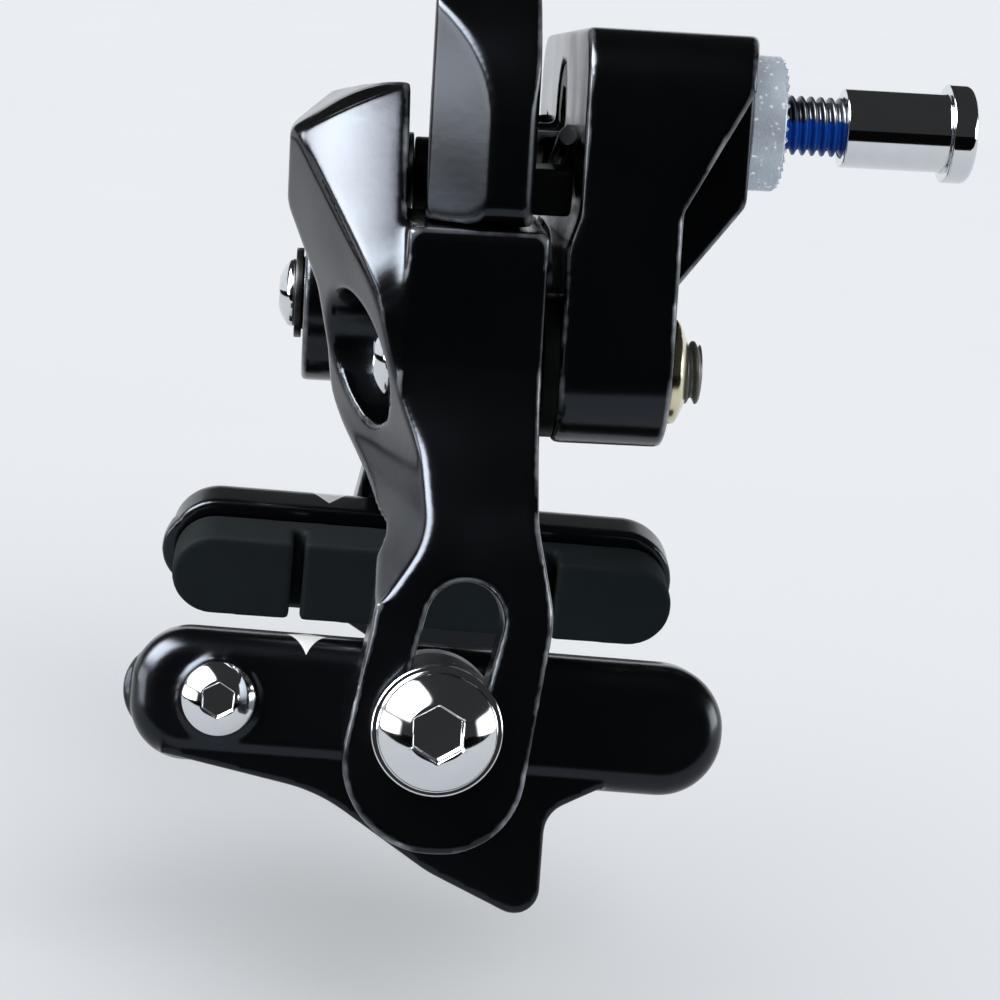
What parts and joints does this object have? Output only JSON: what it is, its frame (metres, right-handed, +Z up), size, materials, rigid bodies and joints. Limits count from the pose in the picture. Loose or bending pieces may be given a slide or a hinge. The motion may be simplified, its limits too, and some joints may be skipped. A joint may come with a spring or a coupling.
{
  "type": "dual-pivot caliper brake",
  "caption": "Road bicycle rim brake: crossing forged arms on a bridge with a mounting bolt squeeze cartridge shoes on the rim, with sync roller, quick release and barrel adjuster.",
  "frame": {"origin": "on the mounting bolt's axis, in the rear face of the serrated washer that seats on the frame", "axes": "+X right seen from the front of the bicycle, +Y to the rear along the mounting bolt, +Z up"},
  "size_m": [0.0951, 0.0823, 0.1106],
  "materials": {
    "black_paint": "gloss black paint on forged aluminium",
    "bright_chrome": "polished",
    "dull_zinc": "dull zinc plate",
    "yellow_zinc": "yellowish zinc plate",
    "dark_steel": "blackened",
    "spring_steel": "drawn wire",
    "black_alloy": "black anodised",
    "pad_rubber": "matte",
    "ring_rubber": "matte",
    "black_nylon": "matte"
  },
  "bodies": {
    "bridge": {"bridge": "black_paint", "centre_bolt": "dark_steel", "sleeve_nut": "bright_chrome", "serrated_washer": "dull_zinc", "return_spring": "spring_steel", "right_pivot_bolt": "bright_chrome", "right_pivot_nut": "yellow_zinc", "right_pivot_sleeve": "dark_steel", "right_thrust_washer": "black_nylon", "right_head_washer": "dark_steel", "left_pivot_bolt": "bright_chrome", "left_pivot_nut": "yellow_zinc", "left_pivot_sleeve": "dark_steel", "left_thrust_washer": "black_nylon", "left_head_washer": "dark_steel"},
    "right_arm": {"right_arm": "black_paint", "sync_pin": "dark_steel", "roller_clip": "spring_steel"},
    "left_arm": {"left_arm": "black_paint", "spring_slider": "black_nylon"},
    "sync_roller": {"sync_roller": "black_nylon"},
    "quick_release": {"quick_release_lever": "black_paint", "anchor_bolt": "bright_chrome", "anchor_plate": "dull_zinc"},
    "adjuster": {"barrel_adjuster": "black_alloy", "adjuster_ring": "ring_rubber"},
    "right_shoe": {"right_pad": "pad_rubber", "right_pad_holder": "black_paint", "right_pad_screw": "bright_chrome", "right_pad_bolt": "bright_chrome", "right_dished_washer": "bright_chrome", "right_concave_washer": "dull_zinc", "right_convex_washer": "dull_zinc"},
    "left_shoe": {"left_pad": "pad_rubber", "left_pad_holder": "black_paint", "left_pad_screw": "bright_chrome", "left_pad_bolt": "bright_chrome", "left_dished_washer": "bright_chrome", "left_concave_washer": "dull_zinc", "left_convex_washer": "dull_zinc"}
  },
  "joints": [
    {"name": "right_arm_pivot", "type": "hinge", "parent": "bridge", "child": "right_arm", "pos_m": [0.021, -0.0327, -0.0225], "axis": [0, 1, 0], "range_deg": [0, 13], "stiffness_Nm_per_rad": 0.4, "springref_deg": -20.05},
    {"name": "left_arm_pivot", "type": "hinge", "parent": "bridge", "child": "left_arm", "pos_m": [-0.021, -0.0327, -0.0225], "axis": [0, -1, 0], "range_deg": [0, 13], "deforming": ["return_spring"]},
    {"name": "sync_roller_spin", "type": "hinge", "parent": "right_arm", "child": "sync_roller", "pos_m": [0, -0.0317, -0.0072], "axis": [0, 1, 0], "continuous": true},
    {"name": "quick_release_turn", "type": "hinge", "parent": "right_arm", "child": "quick_release", "pos_m": [-0.042, -0.0407, -0.012], "axis": [0, -1, 0], "range_deg": [0, 90]},
    {"name": "adjuster_turn", "type": "hinge", "parent": "left_arm", "child": "adjuster", "pos_m": [-0.042, -0.0367, 0.02], "axis": [0, 0, 1], "continuous": true},
    {"name": "right_shoe_reach", "type": "slide", "parent": "right_arm", "child": "right_shoe", "axis": [-0.1859, 0.225, 0.9565], "range_m": [0, 0.01]},
    {"name": "left_shoe_reach", "type": "slide", "parent": "left_arm", "child": "left_shoe", "axis": [0.1859, 0.225, 0.9565], "range_m": [-0.0034, 0.0066]}
  ],
  "couplings": [
    {"joint": "left_arm_pivot", "follows": "right_arm_pivot", "ratio": 1}
  ]
}
